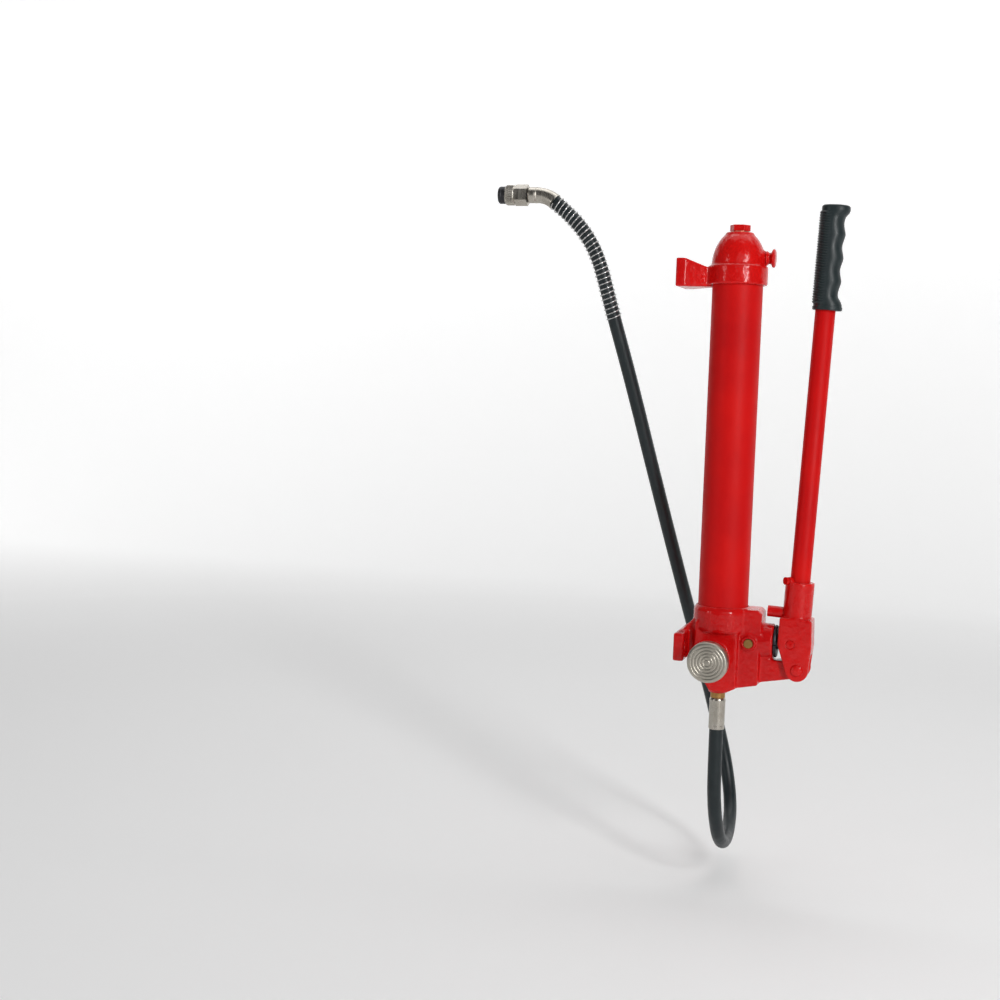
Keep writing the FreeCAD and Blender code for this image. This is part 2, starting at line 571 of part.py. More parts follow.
def check_document():
    document.recompute()
    for item in document.Objects:
        bad = [state for state in item.State if state in ("Invalid", "Error")]
        if bad:
            raise RuntimeError(f"{item.Name} {item.Label}: {bad}")
    for item in nodes:
        if item.Shape.isNull() or not item.Shape.isValid():
            raise RuntimeError(f"{item.Label}: its shape is null or not valid")
        if item.Shape.Volume <= 0:
            raise RuntimeError(f"{item.Label}: its volume is not positive")


def main():
    pump_body()
    reservoir()
    reservoir_cap()
    cap_fittings()
    pumping_cylinder()
    inner_valves()
    release_valve()
    lever()
    lever_pins()
    handle()
    outlet_fittings()
    hose()
    coupler()
    check_document()
    os.makedirs("parts", exist_ok=True)
    for item in nodes:
        item.Shape.exportStep(f"parts/{item.Label}.step")
    print(len(nodes), "nodes written")


main()
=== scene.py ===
"""Looks of the hydraulic hand pump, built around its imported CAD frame. Everything is in metres."""

import json
import math

import bmesh
import bpy
from mathutils import Matrix, Quaternion, Vector


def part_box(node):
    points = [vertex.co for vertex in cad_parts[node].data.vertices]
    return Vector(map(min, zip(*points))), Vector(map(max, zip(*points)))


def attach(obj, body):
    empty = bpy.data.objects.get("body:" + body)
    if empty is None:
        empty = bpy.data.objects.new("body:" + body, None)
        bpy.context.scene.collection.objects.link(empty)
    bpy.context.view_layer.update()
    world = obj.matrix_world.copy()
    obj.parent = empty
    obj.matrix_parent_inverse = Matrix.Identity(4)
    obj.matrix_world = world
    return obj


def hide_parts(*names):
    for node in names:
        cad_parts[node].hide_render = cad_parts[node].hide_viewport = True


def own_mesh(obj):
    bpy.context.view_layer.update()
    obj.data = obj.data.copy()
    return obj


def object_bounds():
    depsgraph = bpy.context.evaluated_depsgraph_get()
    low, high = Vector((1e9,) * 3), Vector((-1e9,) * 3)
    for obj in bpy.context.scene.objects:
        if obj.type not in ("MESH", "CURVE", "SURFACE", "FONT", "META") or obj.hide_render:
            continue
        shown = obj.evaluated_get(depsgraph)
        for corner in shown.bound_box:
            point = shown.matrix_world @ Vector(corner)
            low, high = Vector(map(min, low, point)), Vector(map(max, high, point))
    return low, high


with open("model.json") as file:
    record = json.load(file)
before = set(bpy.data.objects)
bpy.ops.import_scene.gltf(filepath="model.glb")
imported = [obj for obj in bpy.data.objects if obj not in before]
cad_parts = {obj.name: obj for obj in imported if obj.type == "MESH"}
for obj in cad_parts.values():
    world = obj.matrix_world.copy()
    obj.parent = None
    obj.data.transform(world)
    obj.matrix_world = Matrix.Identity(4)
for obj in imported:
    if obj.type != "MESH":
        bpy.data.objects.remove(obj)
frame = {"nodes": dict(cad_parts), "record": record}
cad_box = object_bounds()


# ---------------------------------------------------------------- camera, floor and light

# The photo's camera, as worked out from the press's straight edges.
CAMERA_AT = Vector((0.3158, -1.7468, 0.2954))
CAMERA_AZIMUTH = math.radians(17.2)
CAMERA_DROP = math.radians(4.49)
CAMERA_ROLL = math.radians(1.98)
CAMERA_LENS = 55.1
SENSOR_WIDTH = 36

# The backdrop: the gap under the hose, the floor's two ends, the radius of its bend, the wall's top
# and half its width.
FLOOR_GAP = 0.035
FLOOR_NEAR, FLOOR_FAR, BEND, WALL_TOP, HALF_WIDTH = -7.0, 2.6, 1.2, 7.0, 9.0
BEND_STEPS = 24
# The backdrop's own glow, from none at the first distance to full at the second.
FAR_GLOW, GLOW_START, GLOW_END = 0.52, 1.4, 5.0
# The world's strength as a light, and as it is seen past the backdrop's edge.
WORLD_STRENGTH, WORLD_SEEN = 0.09, 0.74

# Each light: where it stands, its size, its power and the point it is aimed at.
PUMP_MIDDLE = (0.06, 0, 0.2)
WALL_FOOT = (-0.6, 3.8, 0.9)
LIGHTS = {
    "key": ((1.55, -1.75, 0.9), (0.32, 1.5), 35, PUMP_MIDDLE),
    "fill": ((-1.6, -1.7, 0.6), (0.22, 1.3), 5, PUMP_MIDDLE),
    "front": ((0.9, -3.4, 1.6), (1.8, 1.8), 7, PUMP_MIDDLE),
    "top": ((0.1, 0.3, 2.7), (2.6, 2.2), 22, PUMP_MIDDLE),
    "wash": ((-0.6, 0.7, 3.4), (7.0, 1.2), 50, WALL_FOOT),
}


def make_camera():
    camera = bpy.data.objects.new("camera", bpy.data.cameras.new("camera"))
    bpy.context.scene.collection.objects.link(camera)
    camera.data.lens = CAMERA_LENS
    camera.data.sensor_width = SENSOR_WIDTH
    level = math.cos(CAMERA_DROP)
    forward = Vector((-math.sin(CAMERA_AZIMUTH) * level, math.cos(CAMERA_AZIMUTH) * level,
                      -math.sin(CAMERA_DROP)))
    turn = Quaternion(forward, -CAMERA_ROLL) @ forward.to_track_quat("-Z", "Y")
    camera.matrix_world = Matrix.LocRotScale(CAMERA_AT, turn, None)
    bpy.context.scene.camera = camera


def make_light(name, at, size, power, aim):
    light = bpy.data.objects.new(name, bpy.data.lights.new(name, "AREA"))
    bpy.context.scene.collection.objects.link(light)
    light.data.shape = "RECTANGLE"
    light.data.size, light.data.size_y = size
    light.data.energy = power
    light.location = Vector(at)
    light.rotation_euler = (Vector(aim) - Vector(at)).to_track_quat("-Z", "Y").to_euler()


def make_backdrop():
    """A pale floor that curves up into a wall behind the pump."""
    level = cad_box[0].z - FLOOR_GAP
    profile = [(FLOOR_NEAR, level), (FLOOR_FAR, level)]
    for step in range(1, BEND_STEPS + 1):
        angle = math.pi / 2 * step / BEND_STEPS
        profile.append((FLOOR_FAR + BEND * math.sin(angle), level + BEND * (1 - math.cos(angle))))
    profile.append((FLOOR_FAR + BEND, WALL_TOP))
    builder = bmesh.new()
    rows = [[builder.verts.new((side * HALF_WIDTH, y, z)) for side in (-1, 1)] for y, z in profile]
    for lower, upper in zip(rows, rows[1:]):
        builder.faces.new((lower[0], lower[1], upper[1], upper[0]))
    mesh = bpy.data.meshes.new("backdrop")
    builder.to_mesh(mesh)
    builder.free()
    backdrop = bpy.data.objects.new("backdrop", mesh)
    bpy.context.scene.collection.objects.link(backdrop)
    smooth(backdrop)
    paint = bpy.data.materials.new("backdrop_paint")
    paint.use_nodes = True
    shader = paint.node_tree.nodes["Principled BSDF"]
    shader.inputs["Base Color"].default_value = (0.88, 0.88, 0.88, 1)
    shader.inputs["Roughness"].default_value = 0.9
    shader.inputs["Specular IOR Level"].default_value = 0.1
    glow_with_distance(paint.node_tree, shader)
    mesh.materials.append(paint)


def glow_with_distance(tree, shader):
    """Far from the pump, where the lights fade, the backdrop glows softly and so stays pale."""
    place = tree.nodes.new("ShaderNodeTexCoord")
    length = tree.nodes.new("ShaderNodeVectorMath")
    length.operation = "LENGTH"
    ramp = tree.nodes.new("ShaderNodeMapRange")
    ramp.interpolation_type = "SMOOTHSTEP"
    ramp.inputs["From Min"].default_value = GLOW_START
    ramp.inputs["From Max"].default_value = GLOW_END
    ramp.inputs["To Max"].default_value = FAR_GLOW
    tree.links.new(place.outputs["Object"], length.inputs[0])
    tree.links.new(length.outputs["Value"], ramp.inputs["Value"])
    tree.links.new(ramp.outputs["Result"], shader.inputs["Emission Strength"])
    shader.inputs["Emission Color"].default_value = (1, 1, 1, 1)


def make_lights():
    world = bpy.data.worlds.new("studio")
    world.use_nodes = True
    nodes, link = world.node_tree.nodes, world.node_tree.links.new
    seen = nodes.new("ShaderNodeMapRange")
    seen.inputs["To Min"].default_value = WORLD_STRENGTH
    seen.inputs["To Max"].default_value = WORLD_SEEN
    link(nodes.new("ShaderNodeLightPath").outputs["Is Camera Ray"], seen.inputs["Value"])
    nodes["Background"].inputs["Color"].default_value = (1, 1, 1, 1)
    link(seen.outputs["Result"], nodes["Background"].inputs["Strength"])
    bpy.context.scene.world = world
    for name, (at, size, power, aim) in LIGHTS.items():
        make_light(name, at, size, power, aim)
    bpy.context.scene.view_settings.view_transform = "Standard"


# ---------------------------------------------------------------- materials

class Nodes:
    """Short names for the node calls that the materials share."""

    def __init__(self, name):
        self.material = bpy.data.materials.new(name)
        self.material.use_nodes = True
        self.tree = self.material.node_tree
        self.shader = self.tree.nodes["Principled BSDF"]
        self.place = self.tree.nodes.new("ShaderNodeTexCoord").outputs["Object"]
        self.normal = None

    def stretch(self, scale):
        mapping = self.tree.nodes.new("ShaderNodeMapping")
        mapping.inputs["Scale"].default_value = scale
        self.tree.links.new(self.place, mapping.inputs["Vector"])
        return mapping.outputs["Vector"]

    def noise(self, scale, detail=3, rough=0.5, stretch=(1, 1, 1)):
        grain = self.tree.nodes.new("ShaderNodeTexNoise")
        grain.inputs["Scale"].default_value = scale
        grain.inputs["Detail"].default_value = detail
        grain.inputs["Roughness"].default_value = rough
        self.tree.links.new(self.stretch(stretch), grain.inputs["Vector"])
        return grain.outputs["Fac"]

    def cells(self, scale):
        grain = self.tree.nodes.new("ShaderNodeTexVoronoi")
        grain.inputs["Scale"].default_value = scale
        self.tree.links.new(self.place, grain.inputs["Vector"])
        return grain.outputs["Distance"]

    def span(self, value, low, high, start=0.3, end=0.7):
        remap = self.tree.nodes.new("ShaderNodeMapRange")
        remap.inputs["From Min"].default_value = start
        remap.inputs["From Max"].default_value = end
        remap.inputs["To Min"].default_value = low
        remap.inputs["To Max"].default_value = high
        self.tree.links.new(value, remap.inputs["Value"])
        return remap.outputs["Result"]

    def mix(self, value, first, second):
        blend = self.tree.nodes.new("ShaderNodeMix")
        blend.data_type = "RGBA"
        self.tree.links.new(value, blend.inputs["Factor"])
        blend.inputs["A"].default_value = (*first, 1)
        blend.inputs["B"].default_value = (*second, 1)
        return blend.outputs["Result"]

    def bump(self, height, depth, strength=1.0):
        bump = self.tree.nodes.new("ShaderNodeBump")
        bump.inputs["Distance"].default_value = depth
        bump.inputs["Strength"].default_value = strength
        self.tree.links.new(height, bump.inputs["Height"])
        if self.normal is not None:
            self.tree.links.new(self.normal, bump.inputs["Normal"])
        self.normal = bump.outputs["Normal"]

    def finish(self, colour, roughness, **fixed):
        link = self.tree.links.new
        link(colour, self.shader.inputs["Base Color"])
        link(roughness, self.shader.inputs["Roughness"])
        if self.normal is not None:
            link(self.normal, self.shader.inputs["Normal"])
            if fixed.get("Coat_Weight"):
                link(self.normal, self.shader.inputs["Coat Normal"])
        for name, value in fixed.items():
            self.shader.inputs[name.replace("_", " ")].default_value = value
        return self.material


RED = (0.62, 0.005, 0.004)
RED_DEEP = (0.5, 0.003, 0.004)


def red_enamel(name, wave_depth, wave_scale, gloss, pit_depth=0.0):
    """Thick glossy enamel. On a casting it follows the sand's waves and a few pits."""
    paint = Nodes(name)
    colour = paint.mix(paint.span(paint.noise(16, 4), 0, 1), RED, RED_DEEP)
    paint.bump(paint.noise(wave_scale, 2, 0.4), wave_depth)
    paint.bump(paint.noise(900, 2, 0.5), 0.00004)
    if pit_depth:
        paint.bump(paint.span(paint.cells(170), 0, 1, 0.02, 0.22), pit_depth, 0.6)
    satin = 0.44 - 0.22 * gloss
    roughness = paint.span(paint.noise(60, 4), satin, satin + 0.1)
    return paint.finish(colour, roughness, Coat_Weight=0.35 * gloss, Coat_Roughness=0.05,
                        Specular_IOR_Level=0.12)


def bare_metal(name, light, dark, roughness, grain=(1, 1, 1), grain_scale=900, depth=0.00002):
    """Machined or plated metal, with fine tool marks along its grain."""
    metal = Nodes(name)
    colour = metal.mix(metal.span(metal.noise(26, 5, 0.6), 0, 1), light, dark)
    metal.bump(metal.noise(grain_scale, 2, 0.5, grain), depth)
    marks = metal.noise(grain_scale * 0.4, 3, 0.6, grain)
    return metal.finish(colour, metal.span(marks, roughness - 0.08, roughness + 0.1), Metallic=1.0)


def rubber(name, light, dark, roughness, scale, depth):
    """Rubber or plastic with a fine grain, a little mottled in colour and shine."""
    skin = Nodes(name)
    colour = skin.mix(skin.span(skin.noise(45, 5, 0.6), 0, 1), light, dark)
    skin.bump(skin.noise(scale, 3, 0.6), depth)
    spread = skin.span(skin.noise(120, 4), roughness - 0.07, roughness + 0.09)
    return skin.finish(colour, spread, Specular_IOR_Level=0.35)


# Tool marks: fine across the axis of a turned face, and drawn out along a plated tube.
TURNED, DRAWN = (1, 1, 14), (1, 1, 0.1)


def make_materials():
    return {
        "red_casting": red_enamel("red_casting", 0.0008, 150, 1.0, 0.0001),
        "red_tube": red_enamel("red_tube", 0.00006, 30, 0.0),
        "machined_steel": bare_metal("machined_steel", (0.62, 0.61, 0.59), (0.5, 0.49, 0.48), 0.28),
        "painted_pin": red_enamel("painted_pin", 0.0003, 200, 1.0),
        "blackened_steel": bare_metal("blackened_steel", (0.07, 0.07, 0.075), (0.035, 0.035, 0.04), 0.42),
        "zinc_plate": bare_metal("zinc_plate", (0.56, 0.53, 0.48), (0.36, 0.33, 0.28), 0.26, DRAWN),
        "spring_steel": bare_metal("spring_steel", (0.66, 0.66, 0.65), (0.5, 0.5, 0.5), 0.25),
        "brass": bare_metal("brass", (0.5, 0.3, 0.1), (0.28, 0.14, 0.05), 0.36),
        "bronze": bare_metal("bronze", (0.5, 0.32, 0.15), (0.4, 0.25, 0.12), 0.45),
        "copper_washer": bare_metal("copper_washer", (0.6, 0.3, 0.18), (0.45, 0.22, 0.14), 0.4),
        "knob_aluminium": bare_metal("knob_aluminium", (0.48, 0.45, 0.39), (0.38, 0.35, 0.3), 0.34,
                                     TURNED, 300, 0.00003),
        "hose_rubber": rubber("hose_rubber", (0.012, 0.019, 0.021), (0.007, 0.012, 0.014), 0.38,
                              700, 0.00006),
        "grip_rubber": rubber("grip_rubber", (0.016, 0.025, 0.027), (0.011, 0.018, 0.02), 0.4,
                              1200, 0.00005),
        "seal_rubber": rubber("seal_rubber", (0.02, 0.02, 0.02), (0.012, 0.012, 0.012), 0.6, 800, 0.00004),
        "seal_plastic": rubber("seal_plastic", (0.7, 0.68, 0.62), (0.6, 0.58, 0.52), 0.45, 500, 0.00003),
    }


materials = make_materials()


# ---------------------------------------------------------------- mesh tools

def new_object(name, mesh_builder, material):
    mesh = bpy.data.meshes.new(name)
    mesh_builder.normal_update()
    bmesh.ops.recalc_face_normals(mesh_builder, faces=mesh_builder.faces)
    mesh_builder.to_mesh(mesh)
    mesh_builder.free()
    mesh.materials.append(materials[material])
    piece = bpy.data.objects.new(name, mesh)
    bpy.context.scene.collection.objects.link(piece)
    smooth(piece)
    return piece


CREASE = math.radians(48)


def smooth(piece):
    """Smooth shading, with the edges that turn by more than the crease angle left sharp."""
    for face in piece.data.polygons:
        face.use_smooth = True
    piece.data.set_sharp_from_angle(angle=CREASE)


def declare(piece, body, material, *nodes):
    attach(piece, body)
    if nodes:
        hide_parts(*nodes)
    return piece


def softened(outline, radius, steps=4):
    """The outline with each inner corner rounded, within the radius of it or less where a side is short."""
    corners = [Vector(point) for point in outline]
    out = [corners[0]]
    for before, corner, after in zip(corners, corners[1:], corners[2:]):
        back, ahead = before - corner, after - corner
        reach = min(radius, 0.45 * back.length, 0.45 * ahead.length)
        start = corner + back.normalized() * reach
        end = corner + ahead.normalized() * reach
        for step in range(steps + 1):
            share = step / steps
            out.append(start * (1 - share) ** 2 + corner * 2 * share * (1 - share) + end * share ** 2)
    out.append(corners[-1])
    return out


def facing(axis):
    """A rotation that takes +Z to the axis."""
    return Vector((0, 0, 1)).rotation_difference(Vector(axis))


def lathe(name, outline, at, axis, material, segments=128, closed=False, ripple=None):
    """A turned piece from an outline of (radius, height) points, in metres."""
    turn, at = facing(axis), Vector(at)
    builder = bmesh.new()
    rings = []
    for radius, height in outline:
        if radius < 1e-6:
            rings.append([builder.verts.new(at + turn @ Vector((0, 0, height)))])
            continue
        ring = []
        for i in range(segments):
            angle = math.tau * i / segments
            out = radius + (ripple(angle, height, radius) if ripple else 0)
            spot = Vector((out * math.cos(angle), out * math.sin(angle), height))
            ring.append(builder.verts.new(at + turn @ spot))
        rings.append(ring)
    if closed:
        rings.append(rings[0])
    for lower, upper in zip(rings, rings[1:]):
        bridge(builder, lower, upper, segments)
    return new_object(name, builder, material)


def bridge(builder, lower, upper, count):
    for i in range(count):
        j = (i + 1) % count
        if len(lower) == 1 and len(upper) == 1:
            return
        if len(lower) == 1:
            builder.faces.new((lower[0], upper[j], upper[i]))
        elif len(upper) == 1:
            builder.faces.new((lower[i], lower[j], upper[0]))
        else:
            builder.faces.new((lower[i], lower[j], upper[j], upper[i]))


# Each casting: its name, its node, its body, the voxel of its skin and the passes that soften it.
CASTINGS = [
    ("body_casting", "pump_body", "pump", 0.0009, 24),
    ("cap_casting", "reservoir_cap", "pump", 0.0009, 22),
    ("lever_casting", "lever_socket", "lever", 0.0008, 18),
]


def cast_copy(name, node, body, voxel, passes):
    """A casting's softened skin: the CAD node's own shape with its edges and corners rounded."""
    piece = bpy.data.objects.new(name, frame["nodes"][node].data.copy())
    bpy.context.scene.collection.objects.link(piece)
    piece.data.materials.clear()
    piece.data.materials.append(materials["red_casting"])
    remesh = piece.modifiers.new("skin", "REMESH")
    remesh.mode = "VOXEL"
    remesh.voxel_size = voxel
    relax = piece.modifiers.new("relax", "SMOOTH")
    relax.factor = 0.5
    relax.iterations = passes
    apply_modifiers(piece)
    smooth(piece)
    declare(piece, body, "red_casting", node)


def apply_modifiers(piece):
    graph = bpy.context.evaluated_depsgraph_get()
    made = bpy.data.meshes.new_from_object(piece.evaluated_get(graph))
    piece.modifiers.clear()
    piece.data = made


def sharpened(node, width, material):
    """A machined CAD node keeps its shape and gets small bright chamfers on its edges."""
    piece = frame["nodes"][node]
    piece.data.materials.clear()
    piece.data.materials.append(materials[material])
    flat = piece.modifiers.new("flat", "DECIMATE")
    flat.decimate_type = "DISSOLVE"
    flat.angle_limit = math.radians(2)
    bevel = piece.modifiers.new("edges", "BEVEL")
    bevel.width = width
    bevel.segments = 3
    bevel.limit_method = "ANGLE"
    bevel.angle_limit = math.radians(35)
    bevel.harden_normals = True


# ---------------------------------------------------------------- hose and its fittings

HOSE_DIAMETER = 0.016
HOSE_ROUTE = [
    (0.048, -0.008, -0.097), (0.048, -0.008, -0.137), (0.049, -0.008, -0.183),
    (0.051, 0.016, -0.227), (0.052, 0.056, -0.251), (0.051, 0.106, -0.251),
    (0.047, 0.148, -0.227), (0.036, 0.172, -0.184), (0.023, 0.171, -0.133),
    (0.007, 0.151, -0.063), (-0.020, 0.118, 0.045), (-0.052, 0.076, 0.180),
    (-0.080, 0.042, 0.300), (-0.103, 0.017, 0.388), (-0.117, 0.011, 0.440),
    (-0.133, 0.0095, 0.4685), (-0.1531, 0.009, 0.4908), (-0.1728, 0.009, 0.5062),
]


def hose_line():
    curve = bpy.data.curves.new("hose_line", "CURVE")
    curve.dimensions = "3D"
    curve.resolution_u = 24
    spline = curve.splines.new("NURBS")
    spline.points.add(len(HOSE_ROUTE) - 1)
    for point, spot in zip(spline.points, HOSE_ROUTE):
        point.co = (*spot, 1)
    spline.order_u = 3
    spline.use_endpoint_u = True
    line = bpy.data.objects.new("hose_cover", curve)
    bpy.context.scene.collection.objects.link(line)
    return line


def line_points(line):
    graph = bpy.context.evaluated_depsgraph_get()
    mesh = bpy.data.meshes.new_from_object(line.evaluated_get(graph))
    points = [vertex.co.copy() for vertex in mesh.vertices]
    bpy.data.meshes.remove(mesh)
    return points


def walk(points):
    """Distances along a line of points."""
    marks = [0.0]
    for first, second in zip(points, points[1:]):
        marks.append(marks[-1] + (second - first).length)
    return marks


def point_at(points, marks, distance):
    """The place and the direction at a distance along the line."""
    i = 1
    while i < len(marks) - 1 and marks[i] < distance:
        i += 1
    share = (distance - marks[i - 1]) / (marks[i] - marks[i - 1])
    before, after = points[max(i - 2, 0)], points[min(i + 1, len(points) - 1)]
    return points[i - 1].lerp(points[i], share), (after - before).normalized()


def tube_along(name, path, radii, material, sides):
    """A closed tube along a list of points, with a radius at each and a frame that doesn't turn."""
    builder = bmesh.new()
    rings = []
    side = None
    for i, spot in enumerate(path):
        ahead = (path[min(i + 1, len(path) - 1)] - path[max(i - 1, 0)]).normalized()
        if side is None:
            side = ahead.orthogonal().normalized()
        side = (side - ahead * side.dot(ahead)).normalized()
        up = ahead.cross(side)
        rings.append([builder.verts.new(spot + (side * math.cos(math.tau * k / sides)
                                                + up * math.sin(math.tau * k / sides)) * radii[i])
                      for k in range(sides)])
    for lower, upper in zip(rings, rings[1:]):
        bridge(builder, lower, upper, sides)
    builder.faces.new(reversed(rings[0]))
    builder.faces.new(rings[-1])
    return new_object(name, builder, material)


def make_hose():
    line = hose_line()
    points = line_points(line)
    line.data.bevel_depth = HOSE_DIAMETER / 2
    line.data.bevel_resolution = 12
    line.data.use_fill_caps = True
    line.data.materials.append(materials["hose_rubber"])
    declare(line, "pump", "hose_rubber", "hose")
    guard = guard_coil(points)
    elbow = make_elbow()
    ends = make_coupler()
    ferrule = make_ferrule()


# The guard's length along the hose, its pitch, the radii of its wire and its coil, and its unevenness.
GUARD_LENGTH, GUARD_PITCH, GUARD_WIRE, GUARD_RADIUS = 0.158, 0.0058, 0.0008, 0.0090
GUARD_END_GAP, GUARD_SWAY, SWAY_RATE = 0.0015, 0.0002, 260
GUARD_TURN_STEPS = 28


def guard_coil(points):
    """The open steel coil that guards the hose's upper bend."""
    marks = walk(points)
    start = marks[-1] - GUARD_LENGTH
    steps = int(GUARD_LENGTH / GUARD_PITCH * GUARD_TURN_STEPS)
    path = []
    for step in range(steps + 1):
        along = start + (GUARD_LENGTH - GUARD_END_GAP) * step / steps
        spot, ahead = point_at(points, marks, along)
        side = ahead.cross(Vector((0, 1, 0))).normalized()
        up = ahead.cross(side)
        angle = math.tau * step / GUARD_TURN_STEPS
        coil = GUARD_RADIUS + GUARD_SWAY * math.sin(along * SWAY_RATE)
        path.append(spot + (side * math.cos(angle) + up * math.sin(angle)) * coil)
    guard = tube_along("guard_coil", path, [GUARD_WIRE] * len(path), "spring_steel", 8)
    return declare(guard, "pump", "spring_steel", "spring_guard")


# The middle of the port's end of the elbow, and the elbow's bend, turn, radius and rolled lips.
PORT = Vector((-0.195, 0.009, 0.5138))
ELBOW_BEND, ELBOW_TURN = 0.036, math.radians(38)
ELBOW_RADIUS, LIP_RISE, LIP_SHARE = 0.0092, 0.0006, 0.05
ELBOW_STEPS = 48


def make_elbow():
    """The bent steel sleeve, with a rolled lip at each end."""
    centre = Vector((PORT.x, PORT.y, PORT.z - ELBOW_BEND))
    path, radii = [], []
    for step in range(ELBOW_STEPS + 1):
        share = step / ELBOW_STEPS
        angle = math.pi / 2 - ELBOW_TURN * (1 - share)
        path.append(centre + Vector((math.cos(angle), 0, math.sin(angle))) * ELBOW_BEND)
        lip = LIP_RISE * max(0, 1 - min(share, 1 - share) / LIP_SHARE)
        radii.append(ELBOW_RADIUS + lip)
    piece = tube_along("elbow_sleeve", path, radii, "zinc_plate", 64)
    return declare(piece, "pump", "zinc_plate", "hose_elbow")


KNURL_DEPTH, KNURL_TEETH = 0.00035, 36


def make_coupler():
    """The end collar, the knurled sleeve, the black end and the hexagon, along -X from the elbow."""
    axis = (-1, 0, 0)
    outline = [(0, 0.0002), (0.0088, 0.0002), (0.0094, 0.002), (0.0094, 0.0085), (0.0086, 0.0098),
               (0, 0.0098)]
    collar = lathe("end_collar", softened(outline, 0.0006), PORT, axis, "zinc_plate")
    declare(collar, "pump", "zinc_plate", "hose_end_collar")

    def knurl(angle, height, radius):
        band = 0.0275 < height < 0.0363 and radius > 0.0115
        return KNURL_DEPTH * math.sin(angle * KNURL_TEETH) if band else 0

    rows = [(0.0079, 0.0262), (0.0106, 0.0262), (0.0114, 0.0272)]
    rows += [(0.0116, 0.0276 + 0.0007 * i) for i in range(13)]
    rows += [(0.0114, 0.0367), (0.0106, 0.0376), (0.0079, 0.0376)]
    sleeve = lathe("knurled_sleeve", rows, PORT, axis, "zinc_plate", 288, True, knurl)
    declare(sleeve, "coupler_sleeve", "zinc_plate", "coupler_sleeve")
    outline = [(0, 0.01), (0.0078, 0.01), (0.0078, 0.0382), (0.0102, 0.0382), (0.0102, 0.0412),
               (0.0094, 0.0418), (0.0102, 0.0424), (0.0102, 0.0448), (0.0095, 0.046), (0.0062, 0.046),
               (0.0062, 0.034), (0, 0.034)]
    body = lathe("coupler_end", softened(outline, 0.0004, 2), PORT, axis, "blackened_steel")
    declare(body, "pump", "blackened_steel", "coupler_body")
    sharpened("coupler_nut", 0.0006, "zinc_plate")
    return [collar, sleeve, body, frame["nodes"]["coupler_nut"]]


CRIMP_DEPTH, CRIMP_JAWS, CRIMP_ROWS = 0.00025, 8, 40


def make_ferrule():
    """The crimped ferrule, with the shallow lines that the crimping jaws leave."""
    low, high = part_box("hose_ferrule")
    centre = (low + high) / 2
    length = high.z - low.z

    def crimp(angle, height, radius):
        inside = 0.12 < height / length < 0.86 and radius > 0.0088
        return -CRIMP_DEPTH * (0.5 + 0.5 * math.cos(CRIMP_JAWS * angle)) if inside else 0

    rows = [(0.0083, 0.0), (0.0089, 0.0004), (0.0092, 0.0014)]
    rows += [(0.0092, 0.0014 + (length - 0.0036) * i / CRIMP_ROWS) for i in range(1, CRIMP_ROWS + 1)]
    rows += [(0.0088, length - 0.0012), (0.0080, length), (0.0, length)]
    piece = lathe("crimped_ferrule", [(0, 0.0), *rows], (centre.x, centre.y, low.z), (0, 0, 1),
                  "zinc_plate", 128, False, crimp)
    return declare(piece, "pump", "zinc_plate", "hose_ferrule")


# ---------------------------------------------------------------- pump pieces

LEAN = math.radians(2.36)
PIVOT = Vector((0.1366, 0, -0.020))
HANDLE_OFFSET = -0.0063
LEVER_UP = Vector((math.sin(LEAN), 0, math.cos(LEAN)))
LEVER_OUT = Vector((math.cos(LEAN), 0, -math.sin(LEAN)))
HANDLE_FOOT = PIVOT + LEVER_OUT * HANDLE_OFFSET
RESERVOIR_WALL = 0.003
# The handle tube's outer and inner radius, and its two ends along the lever.
HANDLE_BAR = (0.0112, 0.0087, 0.0643, 0.512)


def make_tubes():
    low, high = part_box("reservoir_tube")
    radius = (high.x - low.x) / 2
    centre = (low + high) / 2
    length = high.z - low.z
    inner = radius - RESERVOIR_WALL
    outline = [(inner, 0), (radius, 0), (radius, length), (inner, length)]
    shell = lathe("reservoir_shell", outline, (centre.x, centre.y, low.z), (0, 0, 1), "red_tube", 192, True)
    declare(shell, "pump", "red_tube", "reservoir_tube")
    outer, inner, start, end = HANDLE_BAR
    outline = [(0, end), (outer - 0.0008, end), (outer, end - 0.0008), (outer, start), (inner, start),
               (inner, end - 0.003), (0, end - 0.003)]
    bar = lathe("handle_bar", outline, HANDLE_FOOT, LEVER_UP, "red_tube", 128)
    declare(bar, "lever", "red_tube", "handle_tube")


def make_knob():
    """The release knob: a turned face with five circular grooves and a plain rim."""
    low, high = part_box("release_knob")
    centre = (low + high) / 2
    radius, thick = (high.x - low.x) / 2, 0.014
    pitch, depth = 0.0036, 0.00055
    face = [(0.0, 0.0)]
    for groove in range(1, 6):
        middle = groove * pitch
        face += [(middle - 0.0009, 0.0), (middle - 0.0004, -depth), (middle + 0.0004, -depth),
                 (middle + 0.0009, 0.0)]
    rim = [(radius - 0.0022, 0.0), (radius - 0.0003, -0.0018), (radius, -0.0035),
           (radius, -thick + 0.0012), (radius - 0.0012, -thick), (0.009, -thick), (0.009, -thick - 0.006),
           (0.00502, -thick - 0.006), (0.00502, -0.0049), (0.0, -0.0049)]
    outline = softened(face + rim, 0.0006, 3)
    knob = lathe("grooved_knob", outline, (centre.x, low.y, centre.z), (0, -1, 0), "knob_aluminium", 160)
    declare(knob, "release_knob", "knob_aluminium", "release_knob")


